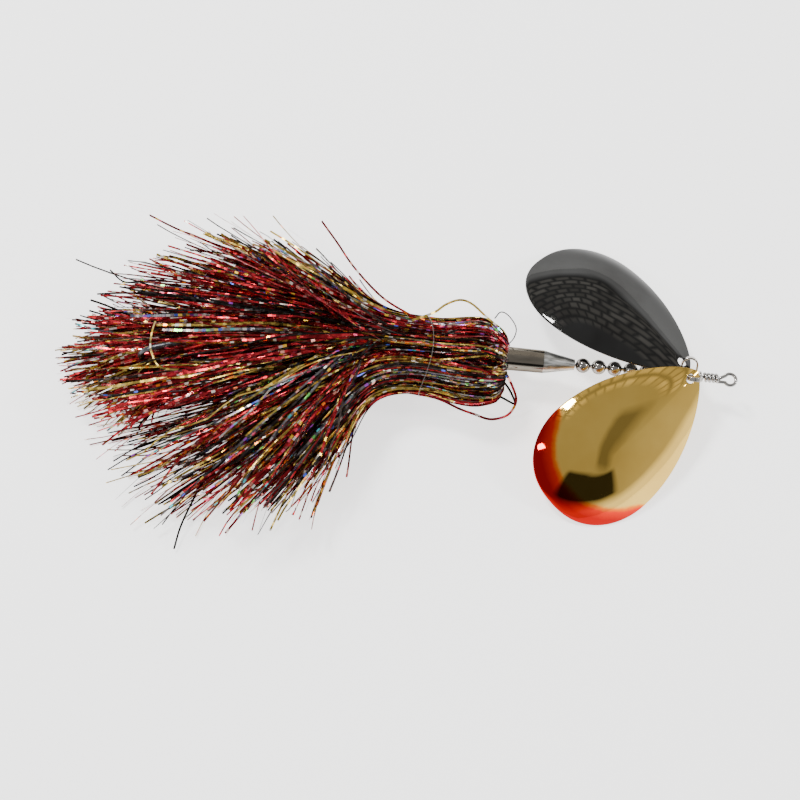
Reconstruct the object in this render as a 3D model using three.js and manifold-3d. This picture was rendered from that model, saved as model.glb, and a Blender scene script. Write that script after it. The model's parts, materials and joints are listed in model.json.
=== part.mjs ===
// In-line musky spinner: two ganged dished blades on folded clevises, a string of bearing beads,
// a turned body weight, a reverse-tied tinsel skirt and two treble hooks on a through-wire shaft.
//
// The lure lies on a table at z = 0. Its shaft runs along X with the line eye at the +X end.
// A station is a distance in millimetres behind the outer end of the line eye.
import * as THREE from "three";
import { mergeVertices } from "three/addons/utils/BufferGeometryUtils.js";
import Module from "manifold-3d";

const wasm = await Module();
wasm.setup();

// ---------------------------------------------------------------- driving dimensions (mm, degrees)
const SHAFT_HEIGHT = 16; // shaft axis above the table
const WIRE_R = 0.65;
const BORE_R = 0.95; // running bore of everything threaded on the wire
const GAP = 0.3; // clearance between neighbouring pieces

const LINE_EYE = { station: 2.9, radius: 2.25 };
const REAR_LOOP = { station: 170, radius: 2.6 };
const WRAPS = { radius: 1.27, pitch: 1.42, turns: 3.5, neck: 2.5 };

const BLADE = {
  length: 73.5,
  width: 50,
  depth: 8.5,
  thickness: 0.6,
  widestAt: 0.66, // share of the length, from the tip with the hole
  crownAt: 0.62,
  holeAt: 4,
  holeR: 1.75,
};
const CLEVIS = { legGap: 5.8, reach: 7.6, thickness: 0.7, width: 1.6, earR: 2.2 };
// clock: the way the clevis stands off the shaft, from straight up towards +Y.
// yaw, droop, roll: how the blade is draped from its hole over the bead string.
const GOLD = {
  clevisStation: 17.2,
  clock: -28.5,
  holeStation: 19,
  holeRadius: 5.8,
  yaw: 45.9,
  droop: 12.75,
  roll: 21.9,
};
const BLACK = {
  clevisStation: 18.9,
  clock: 43,
  holeStation: 22.2,
  holeRadius: 4.4,
  yaw: -38,
  droop: 9.7,
  roll: -24.3,
};

const THRUST_BEAD = { station: 24, r: 1.45 };
const BEAD = { first: 28.5, pitch: 6, count: 6, r: 2.75 };
const BODY = {
  nose: 61.6,
  noseR: 1.95,
  shoulder: 73.5,
  shoulderR: 4.3,
  rear: 93,
  rearR: 4.5,
  chamfer: 0.6,
};
const COLLAR = { front: 93.4, rear: 110, r: 3, lip: 0.5 };
const FRONT_THREAD = { front: 97, rear: 102, inner: 3.3, outer: 4.4 };

const HOOK = { wireR: 1.0, shankR: 1.15, bendR: 6.3, reach: 13.2, pointLength: 13.5 };
const FRONT_HOOK = { station: 116, shank: 36, offset: -2.6, eyeR: 2.5, clocks: [-95, 25, 145] };
const FRONT_SLEEVE = { front: 120.5, rear: 136, wall: 0.6 };

const SPLIT_RING = { radius: 5, wireR: 0.8, play: 0.25 };
const REAR_HOOK = { shank: 37, eyeR: 3.1, eyeWireR: 1.1, clocks: [0, 120, -120] };
const REAR_SLEEVE = { front: 10.5, rear: 21, inner: 1.45, outer: 2.2 }; // from the split ring's centre
const REAR_THREAD = { front: 12.5, rear: 16.5, inner: 2.5, outer: 3.6 };
const REAR_YAW = 18; // the rear hook trails towards -Y

const SKIRT_WALL = { side: 4, top: 4, bottom: 2.8 };
const NECK_BAND = { station: 116, width: 1, gap: 0.35, thickness: 0.5 };

// Outer sections of the tinsel skirts: station, half width, bottom, top, sideways drift.
// A bottom below the table is pressed flat on it.
const FRONT_SKIRT = [
  { station: 88, half: 7, bottom: 9, top: 23, drift: -1 },
  { station: 89.5, half: 10.5, bottom: 5, top: 27.5, drift: -3 },
  { station: 93, half: 15.7, bottom: -0.5, top: 32, drift: -3 },
  { station: 99, half: 17, bottom: -2, top: 34, drift: -3 },
  { station: 106, half: 16.2, bottom: -2, top: 33, drift: -3 },
  { station: 113, half: 15, bottom: 1.5, top: 30.5, drift: -2.5 },
  { station: 120, half: 14.8, bottom: 1.5, top: 30, drift: -2 },
  { station: 128, half: 17.2, bottom: 0.5, top: 32.5, drift: -4 },
  { station: 136, half: 23, bottom: -2, top: 35.5, drift: -6.5 },
  { station: 143, half: 28.5, bottom: -2, top: 37, drift: -10 },
  { station: 150, half: 36, bottom: -2, top: 38, drift: -14 },
  { station: 158, half: 46, bottom: -2, top: 38, drift: -19 },
  { station: 170, half: 54, bottom: -2, top: 38, drift: -17 },
  { station: 195, half: 53, bottom: -2, top: 37, drift: -17 },
  { station: 222, half: 49, bottom: -2, top: 33, drift: -19 },
];
const FRONT_SKIRT_CUTS = { bore: 4.9, floorEnds: 178, roofEnds: 197, lobe: 9 };
const REAR_SKIRT = [
  { station: 9.5, half: 6, bottom: 10, top: 22, drift: 0 },
  { station: 12, half: 8, bottom: 7, top: 25, drift: 0 },
  { station: 20, half: 12, bottom: 1.5, top: 26, drift: 0 },
  { station: 30, half: 18, bottom: -1.5, top: 25, drift: 0 },
  { station: 43, half: 24, bottom: -1.5, top: 24, drift: 0 },
  { station: 55, half: 32, bottom: -1.5, top: 21, drift: 0 },
  { station: 65, half: 33, bottom: -1.5, top: 17, drift: 0 },
  { station: 74, half: 24, bottom: -1.5, top: 12, drift: 0 },
  { station: 81, half: 12, bottom: -0.8, top: 7, drift: 0 },
  { station: 84, half: 4, bottom: -0.3, top: 4, drift: 0 },
];
const REAR_SKIRT_CUTS = { bore: 3.95, boreEnds: 22, troughEnds: 53, troughHalf: 15.2, troughFloor: 6.5 };

const OVAL_POWER = 2.3; // 2 is an ellipse, more is squarer
const OVAL_POINTS = 28;

// ---------------------------------------------------------------- materials
function metal(color, roughness) {
  return new THREE.MeshStandardMaterial({ color, roughness, metalness: 1 });
}

function soft(color, roughness) {
  return new THREE.MeshStandardMaterial({ color, roughness, metalness: 0 });
}

const stainless = metal(0xb9b9b4, 0.3);
const nickel = metal(0xc9c5bc, 0.15);
const gold = metal(0xc79a3a, 0.12);
const blackNickel = metal(0x2c2c2f, 0.12);
const hookSteel = metal(0x3a3a3c, 0.35);
const shrinkTube = soft(0x151515, 0.6);
const collarTube = metal(0xb08d4f, 0.4);
const thread = soft(0x8c1418, 0.8);
const clearElastic = soft(0xd8d8d0, 0.2);
const tinsel = soft(0x6a1418, 0.4);

// ---------------------------------------------------------------- solids
function solidOf(geometry) {
  const bare = geometry.clone();
  bare.deleteAttribute("normal");
  bare.deleteAttribute("uv");
  const merged = mergeVertices(bare, 1e-4);
  return new wasm.Manifold(
    new wasm.Mesh({
      numProp: 3,
      vertProperties: new Float32Array(merged.attributes.position.array),
      triVerts: new Uint32Array(merged.index.array),
    }),
  );
}

function geometryOf(solid) {
  const { numProp, vertProperties, triVerts } = solid.getMesh();
  const corners = new Float32Array((vertProperties.length / numProp) * 3);
  for (let i = 0; i * numProp < vertProperties.length; i++) {
    corners.set(vertProperties.subarray(i * numProp, i * numProp + 3), i * 3);
  }
  return new THREE.BufferGeometry()
    .setAttribute("position", new THREE.BufferAttribute(corners, 3))
    .setIndex(new THREE.BufferAttribute(new Uint32Array(triVerts), 1));
}

const join = (solids) => solids.reduce((all, one) => all.add(one));

function piece(name, solid, material) {
  const mesh = new THREE.Mesh(geometryOf(solid), material);
  mesh.name = name;
  return mesh;
}

// A turned solid about the X axis, from a closed profile of [station, radius] points.
function turned(profile, segments = 20) {
  const points = profile.map(([station, radius]) => new THREE.Vector2(radius, station));
  if (THREE.ShapeUtils.area(points) < 0) points.reverse();
  points.push(points[0].clone());
  return solidOf(new THREE.LatheGeometry(points, segments).rotateZ(Math.PI / 2));
}

// A plain rod along X between two stations.
function rod(front, rear, radius, segments = 12) {
  const geometry = new THREE.CylinderGeometry(radius, radius, rear - front, segments);
  return solidOf(geometry.rotateZ(Math.PI / 2).translate(-(front + rear) / 2, 0, 0));
}

function box(low, high) {
  const size = high.clone().sub(low);
  const middle = high.clone().add(low).multiplyScalar(0.5);
  const geometry = new THREE.BoxGeometry(size.x, size.y, size.z);
  return solidOf(geometry.translate(middle.x, middle.y, middle.z));
}

// A round wire swept through the points of a smooth open curve.
function sweptWire(points, radius, steps, sides = 8) {
  const extrudePath = new THREE.CatmullRomCurve3(points);
  const section = new THREE.Shape();
  for (let i = 0; i < sides; i++) {
    const angle = (2 * Math.PI * i) / sides;
    section[i ? "lineTo" : "moveTo"](radius * Math.cos(angle), radius * Math.sin(angle));
  }
  return solidOf(new THREE.ExtrudeGeometry(section, { steps, extrudePath, bevelEnabled: false }));
}

// A closed oval across X, flat-bottomed where it would pass below the table.
function ovalRing({ station, half, bottom, top, drift }) {
  const middle = (top + bottom) / 2;
  const rise = (top - bottom) / 2;
  const squared = (v) => Math.sign(v) * Math.abs(v) ** (2 / OVAL_POWER);
  return Array.from({ length: OVAL_POINTS }, (_, i) => {
    const angle = (2 * Math.PI * (i + 0.5)) / OVAL_POINTS;
    const y = drift + half * squared(Math.cos(angle));
    return new THREE.Vector3(-station, y, middle + rise * squared(Math.sin(angle)));
  });
}

// A closed solid through a row of rings with the same number of points.
function lofted(rings) {
  const count = rings[0].length;
  const centre = (ring) =>
    ring.reduce((sum, p) => sum.add(p), new THREE.Vector3()).divideScalar(count);
  const points = [...rings.flat(), centre(rings[0]), centre(rings.at(-1))];
  const frontCentre = rings.length * count;
  const faces = [];
  for (let i = 0; i < count; i++) {
    const next = (i + 1) % count;
    for (let row = 0; row < rings.length - 1; row++) {
      const [a, b] = [row * count + i, row * count + next];
      faces.push(a, a + count, b, b, a + count, b + count);
    }
    const last = (rings.length - 1) * count;
    faces.push(frontCentre, i, next, frontCentre + 1, last + next, last + i);
  }
  const geometry = new THREE.BufferGeometry().setFromPoints(points).setIndex(faces);
  return solidOf(geometry);
}

// ---------------------------------------------------------------- wire shaft
// A closed wire loop about the origin in the XY plane, its neck wrapped round the shaft behind it.
function loopAndWraps(radius) {
  const points = [new THREE.Vector3(-radius - WRAPS.neck + 0.5, 0, 0)];
  for (let degrees = 140; degrees >= -140; degrees -= 20) {
    const angle = THREE.MathUtils.degToRad(degrees);
    points.push(new THREE.Vector3(radius * Math.cos(angle), radius * Math.sin(angle), 0));
  }
  const perTurn = 10;
  for (let i = 0; i <= WRAPS.turns * perTurn; i++) {
    const angle = (2 * Math.PI * i) / perTurn;
    const x = -radius - WRAPS.neck - (WRAPS.pitch * i) / perTurn;
    const y = -WRAPS.radius * Math.cos(angle);
    points.push(new THREE.Vector3(x, y, WRAPS.radius * Math.sin(angle)));
  }
  return sweptWire(points, WIRE_R, 72, 6);
}

function wireShaft() {
  const front = LINE_EYE.station + LINE_EYE.radius + WRAPS.neck - 0.9;
  const rear = REAR_LOOP.station - REAR_LOOP.radius - WRAPS.neck + 0.9;
  const eye = loopAndWraps(LINE_EYE.radius).translate([-LINE_EYE.station, 0, 0]);
  const loop = loopAndWraps(REAR_LOOP.radius)
    .rotate([90, 0, 180])
    .translate([-REAR_LOOP.station, 0, 0]);
  return join([rod(front, rear, WIRE_R), eye, loop]);
}

// ---------------------------------------------------------------- blades and clevises
function bladeHalfWidth(s) {
  const widest = BLADE.widestAt * BLADE.length;
  if (s <= widest) {
    return (BLADE.width / 2) * Math.sin((Math.PI / 2) * (s / widest)) ** 0.71;
  }
  const beyond = Math.min(1, (s - widest) / (BLADE.length - widest));
  return (BLADE.width / 2) * (1 - beyond ** 2) ** 0.43;
}

// A dished teardrop: X runs from the hole to the tail, Z is the convex side, and the rim's
// plane passes through the origin, which is on the axis of the hole.
function blade() {
  const count = 48;
  const rings = 6;
  const crown = BLADE.crownAt * BLADE.length;
  const points = [];
  for (const side of [1, -1]) {
    points.push(new THREE.Vector3(crown, 0, BLADE.depth + (side * BLADE.thickness) / 2));
    for (let ring = 1; ring <= rings; ring++) {
      const r = ring / rings;
      const z = BLADE.depth * (1 - r ** 2) + (side * BLADE.thickness) / 2;
      for (let i = 0; i < count; i++) {
        const angle = (2 * Math.PI * i) / count;
        const s = (BLADE.length * (1 - Math.cos(angle))) / 2;
        const y = Math.sign(Math.sin(angle)) * bladeHalfWidth(s);
        points.push(new THREE.Vector3(crown + r * (s - crown), r * y, z));
      }
    }
  }
  const perSide = 1 + rings * count;
  const faces = [];
  for (let i = 0; i < count; i++) {
    const next = (i + 1) % count;
    for (const base of [0, perSide]) {
      const turn = (a, b, c) => (base ? faces.push(a, c, b) : faces.push(a, b, c));
      turn(base, base + 1 + next, base + 1 + i);
      for (let ring = 0; ring < rings - 1; ring++) {
        const inner = base + 1 + ring * count;
        turn(inner + i, inner + next, inner + count + i);
        turn(inner + next, inner + count + next, inner + count + i);
      }
    }
    const rim = perSide - count;
    faces.push(rim + i, rim + next, rim + i + perSide);
    faces.push(rim + next, rim + next + perSide, rim + i + perSide);
  }
  const dished = solidOf(new THREE.BufferGeometry().setFromPoints(points).setIndex(faces));
  const drill = new THREE.CylinderGeometry(BLADE.holeR, BLADE.holeR, 20, 16).rotateX(Math.PI / 2);
  return dished
    .subtract(solidOf(drill.translate(BLADE.holeAt, 0, 0)))
    .translate([-BLADE.holeAt, 0, 0]);
}

// A strip folded into a U about the origin on the shaft axis, its bend towards +Z.
function clevis() {
  const outer = CLEVIS.legGap / 2 + CLEVIS.thickness / 2;
  const inner = outer - CLEVIS.thickness;
  const bend = CLEVIS.reach - CLEVIS.legGap / 2;
  const shape = new THREE.Shape();
  shape.moveTo(outer, 0);
  shape.lineTo(outer, bend);
  shape.absarc(0, bend, outer, 0, Math.PI, false);
  shape.lineTo(-outer, 0);
  shape.lineTo(-inner, 0);
  shape.lineTo(-inner, bend);
  shape.absarc(0, bend, inner, Math.PI, 0, true);
  shape.lineTo(inner, 0);
  const strip = new THREE.ExtrudeGeometry(shape, {
    depth: CLEVIS.width,
    bevelEnabled: false,
    curveSegments: 8,
  });
  const ears = [-1, 1].map((side) => {
    const middle = (side * CLEVIS.legGap) / 2;
    return rod(middle - CLEVIS.thickness / 2, middle + CLEVIS.thickness / 2, CLEVIS.earR, 16);
  });
  const folded = solidOf(strip.rotateX(Math.PI / 2).translate(0, CLEVIS.width / 2, 0));
  return join([folded, ...ears]).subtract(rod(-2 * outer, 2 * outer, BORE_R));
}

function clevisGroup(name, pose) {
  const group = new THREE.Group();
  group.position.set(-pose.clevisStation, 0, 0);
  group.rotation.x = -THREE.MathUtils.degToRad(pose.clock);
  group.add(piece(name, clevis(), nickel));
  return group;
}

function bladeGroup(name, pose, material) {
  const [clock, yaw, droop, roll] = [pose.clock, pose.yaw, pose.droop, pose.roll].map(
    THREE.MathUtils.degToRad,
  );
  const along = new THREE.Vector3(
    -Math.cos(yaw) * Math.cos(droop),
    -Math.sin(yaw) * Math.cos(droop),
    -Math.sin(droop),
  );
  const upright = new THREE.Vector3(0, 0, 1).projectOnPlane(along).normalize();
  const convex = upright.applyAxisAngle(along, -roll);
  const across = convex.clone().cross(along);
  const group = new THREE.Group();
  group.quaternion.setFromRotationMatrix(new THREE.Matrix4().makeBasis(along, across, convex));
  group.position.set(
    -pose.holeStation,
    pose.holeRadius * Math.sin(clock),
    pose.holeRadius * Math.cos(clock),
  );
  group.add(piece(name, blade(), material));
  return group;
}

// ---------------------------------------------------------------- beads and body
function bead(station, radius) {
  const lip = Math.asin(BORE_R / radius);
  const steps = 7;
  const profile = [];
  for (let i = 0; i <= steps; i++) {
    const angle = lip + ((Math.PI - 2 * lip) * i) / steps;
    profile.push([station - radius * Math.cos(angle), radius * Math.sin(angle)]);
  }
  return turned(profile, 16);
}

function bodyWeight() {
  return turned(
    [
      [BODY.nose, BORE_R],
      [BODY.nose, BODY.noseR - 0.3],
      [BODY.nose + 0.3, BODY.noseR],
      [BODY.shoulder, BODY.shoulderR],
      [BODY.rear - BODY.chamfer, BODY.rearR],
      [BODY.rear, BODY.rearR - BODY.chamfer],
      [BODY.rear, BORE_R],
    ],
    28,
  );
}

function skirtCollar() {
  return turned([
    [COLLAR.front, BORE_R],
    [COLLAR.front, COLLAR.r],
    [COLLAR.rear - 2, COLLAR.r],
    [COLLAR.rear - 1, COLLAR.r + COLLAR.lip],
    [COLLAR.rear, COLLAR.r],
    [COLLAR.rear, BORE_R],
  ]);
}

// Thread wound in neat turns: a ring with a scalloped outside.
function threadWrap({ front, rear, inner, outer }, turns = 4) {
  const profile = [[front, inner]];
  const groove = 0.35;
  for (let i = 0; i < turns; i++) {
    const width = (rear - front) / turns;
    profile.push([front + i * width, outer - groove]);
    profile.push([front + (i + 0.5) * width, outer]);
  }
  profile.push([rear, outer - groove], [rear, inner]);
  return turned(profile);
}

// ---------------------------------------------------------------- hooks
// Three barbed arms and a shank along -X from the origin.
function treble(shank, clocks) {
  const arms = clocks.map((clock) => {
    const points = [new THREE.Vector3(-shank + 5, 0, 0.5)];
    for (let i = 0; i <= 8; i++) {
      const angle = (Math.PI * i) / 8;
      const rise = HOOK.reach - HOOK.bendR * (1 + Math.cos(angle));
      points.push(new THREE.Vector3(-shank - HOOK.bendR * Math.sin(angle), 0, rise));
    }
    const tip = -shank + HOOK.pointLength;
    points.push(new THREE.Vector3(tip - 4, 0, HOOK.reach + 0.2));
    const cone = (radius, length, x, z) =>
      solidOf(
        new THREE.ConeGeometry(radius, length, 8)
          .rotateZ(-Math.PI / 2)
          .translate(x - length / 2, 0, z),
      );
    const arm = join([
      sweptWire(points, HOOK.wireR, 16, 8),
      cone(HOOK.wireR * 0.97, 4.6, tip + 0.4, HOOK.reach + 0.2),
      cone(0.7, 2.2, tip - 1.6, HOOK.reach - 0.9),
    ]);
    return arm.rotate([-clock, 0, 0]);
  });
  return join([rod(0, shank + 1, HOOK.shankR, 10), ...arms]);
}

function ring(radius, wireR, sides = 8, steps = 16) {
  return new THREE.TorusGeometry(radius, wireR, sides, steps);
}

// The eye lies square to the shank, so the shaft wire runs straight through it.
function frontHook() {
  const eye = solidOf(ring(FRONT_HOOK.eyeR, HOOK.wireR).rotateY(Math.PI / 2));
  const hook = treble(FRONT_HOOK.shank, FRONT_HOOK.clocks).translate([0, FRONT_HOOK.offset, 0]);
  return join([eye, hook]).translate([-FRONT_HOOK.station, 0, 0]);
}

// An oval shrink tube round the shaft wire and the front hook's shank.
function frontSleeve() {
  const stadium = (radius) => {
    const shape = new THREE.Shape();
    shape.absarc(Math.max(0, FRONT_HOOK.offset), 0, radius, -Math.PI / 2, Math.PI / 2, false);
    shape.absarc(Math.min(0, FRONT_HOOK.offset), 0, radius, Math.PI / 2, (3 * Math.PI) / 2, false);
    return shape;
  };
  const inner = HOOK.shankR + GAP;
  const tube = stadium(inner + FRONT_SLEEVE.wall);
  tube.holes.push(stadium(inner));
  const depth = FRONT_SLEEVE.rear - FRONT_SLEEVE.front;
  const geometry = new THREE.ExtrudeGeometry(tube, { depth, bevelEnabled: false, curveSegments: 8 });
  const turnedToShaft = new THREE.Matrix4().makeBasis(
    new THREE.Vector3(0, 1, 0),
    new THREE.Vector3(0, 0, 1),
    new THREE.Vector3(1, 0, 0),
  );
  return solidOf(geometry.applyMatrix4(turnedToShaft).translate(-FRONT_SLEEVE.rear, 0, 0));
}

// Stations of the split ring, which hangs in the shaft's rear loop, and of the rear hook's eye.
const ringFront =
  REAR_LOOP.station + REAR_LOOP.radius - WIRE_R - SPLIT_RING.wireR - SPLIT_RING.play;
const ringCentre = ringFront + SPLIT_RING.radius;
const rearEye =
  SPLIT_RING.radius + REAR_HOOK.eyeR - REAR_HOOK.eyeWireR - SPLIT_RING.wireR - SPLIT_RING.play;

function splitRing() {
  return solidOf(ring(SPLIT_RING.radius, SPLIT_RING.wireR, 8, 28)).translate([-ringCentre, 0, 0]);
}

// Pieces of the rear hook are placed from the split ring's centre.
function rearHook() {
  const eye = solidOf(ring(REAR_HOOK.eyeR, REAR_HOOK.eyeWireR).rotateX(Math.PI / 2));
  const hook = treble(REAR_HOOK.shank, REAR_HOOK.clocks);
  const shank = hook.subtract(rod(-1, REAR_HOOK.eyeR, HOOK.shankR + 0.1, 10));
  return join([eye, shank]).translate([-rearEye, 0, 0]);
}

// ---------------------------------------------------------------- tinsel skirts
const flattened = (rings) =>
  rings.map((points) => points.map((p) => p.clone().setZ(Math.max(0, p.z))));

function frontSkirt() {
  const cuts = FRONT_SKIRT_CUTS;
  const outer = lofted(flattened(FRONT_SKIRT.map(ovalRing)));
  const hollow = FRONT_SKIRT.slice(3).map((section) => ({
    ...section,
    half: section.half - SKIRT_WALL.side,
    bottom: section.bottom + SKIRT_WALL.bottom,
    top: section.top - SKIRT_WALL.top,
  }));
  hollow.unshift({ station: 94.2, half: 8, bottom: 8, top: 24, drift: 0 });
  hollow.push({ ...hollow.at(-1), station: 226 });
  const last = FRONT_SKIRT.at(-1);
  const slot = (front, inset) =>
    box(
      new THREE.Vector3(-last.station - 1, last.drift - last.half + inset, -1),
      new THREE.Vector3(-front, last.drift + last.half - inset, 6),
    );
  const roof = box(
    new THREE.Vector3(-last.station - 1, last.drift - last.half + cuts.lobe, -1),
    new THREE.Vector3(-cuts.roofEnds, last.drift + last.half - cuts.lobe, 60),
  );
  const raised = rod(80, 98, cuts.bore, 24).translate([0, 0, SHAFT_HEIGHT]);
  return outer
    .subtract(lofted(hollow.map(ovalRing)))
    .subtract(slot(cuts.floorEnds, cuts.lobe))
    .subtract(roof)
    .subtract(raised)
    .translate([0, 0, -SHAFT_HEIGHT]);
}

function neckBand() {
  const [before, after] = FRONT_SKIRT.slice(5, 7);
  const share = (NECK_BAND.station - before.station) / (after.station - before.station);
  const mix = (key) => before[key] + share * (after[key] - before[key]);
  const outline = (offset) =>
    ovalRing({
      station: 0,
      half: mix("half") + offset,
      bottom: mix("bottom") - offset,
      top: mix("top") + offset,
      drift: mix("drift"),
    }).map((p) => new THREE.Vector2(p.y, p.z - SHAFT_HEIGHT));
  const band = new THREE.Shape(outline(NECK_BAND.gap + NECK_BAND.thickness));
  band.holes.push(new THREE.Path(outline(NECK_BAND.gap)));
  const geometry = new THREE.ExtrudeGeometry(band, { depth: NECK_BAND.width, bevelEnabled: false });
  const acrossShaft = new THREE.Matrix4().makeBasis(
    new THREE.Vector3(0, 1, 0),
    new THREE.Vector3(0, 0, 1),
    new THREE.Vector3(1, 0, 0),
  );
  const front = NECK_BAND.station - NECK_BAND.width / 2;
  return solidOf(geometry.applyMatrix4(acrossShaft).translate(-front - NECK_BAND.width, 0, 0));
}

function rearSkirt() {
  const cuts = REAR_SKIRT_CUTS;
  const trough = box(
    new THREE.Vector3(-cuts.troughEnds, -cuts.troughHalf, cuts.troughFloor),
    new THREE.Vector3(-cuts.boreEnds + 1, cuts.troughHalf, 60),
  );
  const raised = rod(0, cuts.boreEnds, cuts.bore, 20).translate([0, 0, SHAFT_HEIGHT]);
  return lofted(flattened(REAR_SKIRT.map(ovalRing)))
    .subtract(trough)
    .subtract(raised)
    .translate([0, 0, -SHAFT_HEIGHT]);
}

// ---------------------------------------------------------------- assembly
const shaft = new THREE.Group(); // origin on the shaft axis at the line eye's outer end
shaft.position.z = SHAFT_HEIGHT;
shaft.add(piece("wire_shaft", wireShaft(), stainless));
shaft.add(clevisGroup("clevis_gold", GOLD), clevisGroup("clevis_black", BLACK));
shaft.add(bladeGroup("blade_gold", GOLD, gold), bladeGroup("blade_black", BLACK, blackNickel));
shaft.add(piece("thrust_bead", bead(THRUST_BEAD.station, THRUST_BEAD.r), nickel));
for (let i = 0; i < BEAD.count; i++) {
  const station = BEAD.first + i * BEAD.pitch;
  shaft.add(piece(`bearing_bead_${i + 1}`, bead(station, BEAD.r), nickel));
}
shaft.add(piece("body_weight", bodyWeight(), nickel));
shaft.add(piece("skirt_collar", skirtCollar(), collarTube));
shaft.add(piece("front_skirt_thread", threadWrap(FRONT_THREAD), thread));
shaft.add(piece("front_skirt", frontSkirt(), tinsel));
shaft.add(piece("neck_band", neckBand(), clearElastic));
shaft.add(piece("front_hook", frontHook(), hookSteel));
shaft.add(piece("front_hook_sleeve", frontSleeve(), shrinkTube));
shaft.add(piece("split_ring", splitRing(), stainless));

const trailing = new THREE.Group(); // turns about the split ring's centre
trailing.position.x = -ringCentre;
trailing.rotation.z = THREE.MathUtils.degToRad(REAR_YAW);
trailing.add(piece("rear_hook", rearHook(), hookSteel));
const rearTube = [
  [REAR_SLEEVE.front, REAR_SLEEVE.inner],
  [REAR_SLEEVE.front, REAR_SLEEVE.outer],
  [REAR_SLEEVE.rear, REAR_SLEEVE.outer],
  [REAR_SLEEVE.rear, REAR_SLEEVE.inner],
];
trailing.add(piece("rear_hook_sleeve", turned(rearTube, 16), shrinkTube));
trailing.add(piece("rear_skirt_thread", threadWrap(REAR_THREAD), thread));
trailing.add(piece("rear_skirt", rearSkirt(), tinsel));
shaft.add(trailing);

const lure = new THREE.Group();
lure.add(shaft);
const bounds = new THREE.Box3().setFromObject(lure, true);
const middle = bounds.getCenter(new THREE.Vector3());
shaft.position.x -= middle.x; // the origin is under the middle of the lure's box, on the table
shaft.position.y -= middle.y;

export default lure;
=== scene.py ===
"""Looks of an in-line double-blade spinner with a tinsel skirt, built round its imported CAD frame.

Lengths are in millimetres along stations until a mesh is made: a station is the distance behind
the outer end of the line eye, y and z are measured from the shaft's axis, and MM turns them into
metres of the row frame.
"""

import json
import math

import bmesh
import bpy
import numpy as np
from mathutils import Matrix, Vector

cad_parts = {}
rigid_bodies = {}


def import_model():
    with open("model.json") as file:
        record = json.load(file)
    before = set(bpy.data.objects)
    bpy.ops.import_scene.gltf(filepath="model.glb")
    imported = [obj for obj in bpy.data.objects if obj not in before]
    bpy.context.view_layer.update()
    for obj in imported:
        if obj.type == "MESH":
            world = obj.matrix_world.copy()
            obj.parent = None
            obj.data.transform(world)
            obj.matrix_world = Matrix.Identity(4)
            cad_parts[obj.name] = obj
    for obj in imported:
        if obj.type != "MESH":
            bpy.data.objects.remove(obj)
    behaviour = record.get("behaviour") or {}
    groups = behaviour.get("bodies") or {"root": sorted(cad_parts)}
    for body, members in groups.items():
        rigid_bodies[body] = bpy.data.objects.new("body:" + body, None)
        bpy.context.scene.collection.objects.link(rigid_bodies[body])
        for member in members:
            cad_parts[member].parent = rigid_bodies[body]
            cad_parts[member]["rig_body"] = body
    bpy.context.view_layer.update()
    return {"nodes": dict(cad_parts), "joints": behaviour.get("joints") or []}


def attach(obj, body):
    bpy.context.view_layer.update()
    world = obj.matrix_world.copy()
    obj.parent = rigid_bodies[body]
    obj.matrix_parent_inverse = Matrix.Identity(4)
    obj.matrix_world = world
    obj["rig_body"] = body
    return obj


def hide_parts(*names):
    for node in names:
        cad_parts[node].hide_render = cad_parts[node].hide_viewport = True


MM = 0.001
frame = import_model()
rng = np.random.default_rng(7)

# ---------------- where the shaft is
CLEVIS_STATION = {"gold": 17.2, "black": 18.9}
BODIES = {node: obj["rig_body"] for node, obj in frame["nodes"].items()}
joints = {j["name"]: j for j in frame["joints"]}
gold_spin = Vector(joints["clevis_gold_spin"]["pos_m"])
ORIGIN = gold_spin + Vector((CLEVIS_STATION["gold"] * MM, 0, 0))
SHAFT_HEIGHT = ORIGIN.z / MM


def at(station, y=0.0, z=0.0):
    """A point of the row frame, in metres."""
    return ORIGIN + Vector((-station, y, z)) * MM


# ---------------- driving dimensions (mm, degrees)
WIRE_R = 0.65
BORE_R = 0.8
LINE_EYE = {"station": 2.9, "radius": 2.25}
REAR_LOOP = {"station": 170, "radius": 2.6}
WRAPS = {"radius": 1.27, "pitch": 1.42, "turns": 3.5, "neck": 2.5}
BLADE = {"length": 73.5, "width": 50, "depth": 8.5, "thickness": 0.6, "hole_at": 4, "hole_r": 1.75}
BLADE |= {"widest_at": 0.66, "crown_at": 0.62}  # shares of its length
BLADES = {
    "gold": {"clock": -28.5, "hole": (19, 5.8), "yaw": 45.9, "droop": 12.75, "roll": 21.9},
    "black": {"clock": 43, "hole": (22.2, 4.4), "yaw": -38, "droop": 9.7, "roll": -24.3},
}
CLEVIS = {"leg_gap": 5.8, "reach": 7.6, "thickness": 0.7, "width": 1.6, "ear_r": 2.2}
THRUST_BEAD = {"station": 24, "r": 1.45}
BEAD = {"first": 28.5, "pitch": 6, "count": 6, "r": 2.75}
BODY = {"nose": 61.6, "nose_r": 1.95, "shoulder": 73.5, "shoulder_r": 4.3, "rear": 93, "rear_r": 4.5}
COLLAR = {"front": 93.4, "rear": 110, "r": 3, "lip": 0.5}
FRONT_THREAD = {"front": 97, "rear": 102, "inner": 3.3, "outer": 4.4}
HOOK = {"wire_r": 1.0, "shank_r": 1.15, "bend_r": 6.3, "reach": 13.2, "point": 13.5}
FRONT_HOOK = {"station": 116, "shank": 36, "offset": -2.6, "eye_r": 2.5, "clocks": (-95, 25, 145)}
FRONT_SLEEVE = {"front": 120.5, "rear": 136, "wall": 0.6, "gap": 0.3}
SPLIT_RING = {"radius": 5, "wire_r": 0.8, "play": 0.25}
REAR_HOOK = {"shank": 37, "eye_r": 3.1, "eye_wire_r": 1.1, "clocks": (0, 120, -120)}
REAR_SLEEVE = {"front": 10.5, "rear": 21, "inner": 1.45, "outer": 2.2}
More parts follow.
